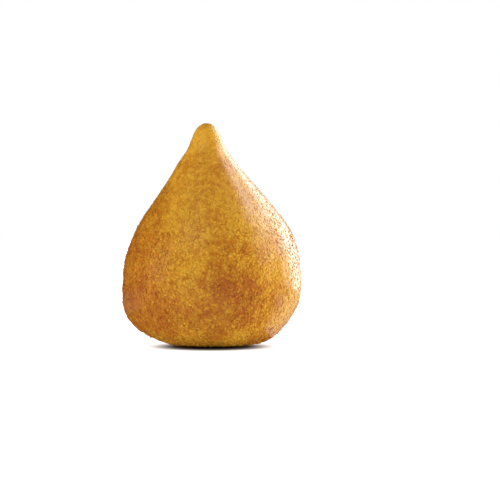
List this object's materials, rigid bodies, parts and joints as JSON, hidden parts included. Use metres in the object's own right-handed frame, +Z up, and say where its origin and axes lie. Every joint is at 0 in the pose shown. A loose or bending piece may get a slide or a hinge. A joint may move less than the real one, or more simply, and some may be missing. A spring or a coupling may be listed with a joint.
{
  "type": "coxinha",
  "caption": "Drop-shaped fried dough snack with a fine golden crumb crust and a pinched nub on top, standing on a small flat base.",
  "frame": {"origin": "middle of the bounding box at the level of the flat base", "axes": "+Z up through the nub, -Y towards the side that the picture shows, +X to the picture's right"},
  "size_m": [0.0634, 0.062, 0.0788],
  "materials": {
    "crust": "golden-brown fried breadcrumb, dry with a faint sheen of oil"
  },
  "bodies": {
    "root": {"coxinha": "crust"}
  },
  "joints": []
}
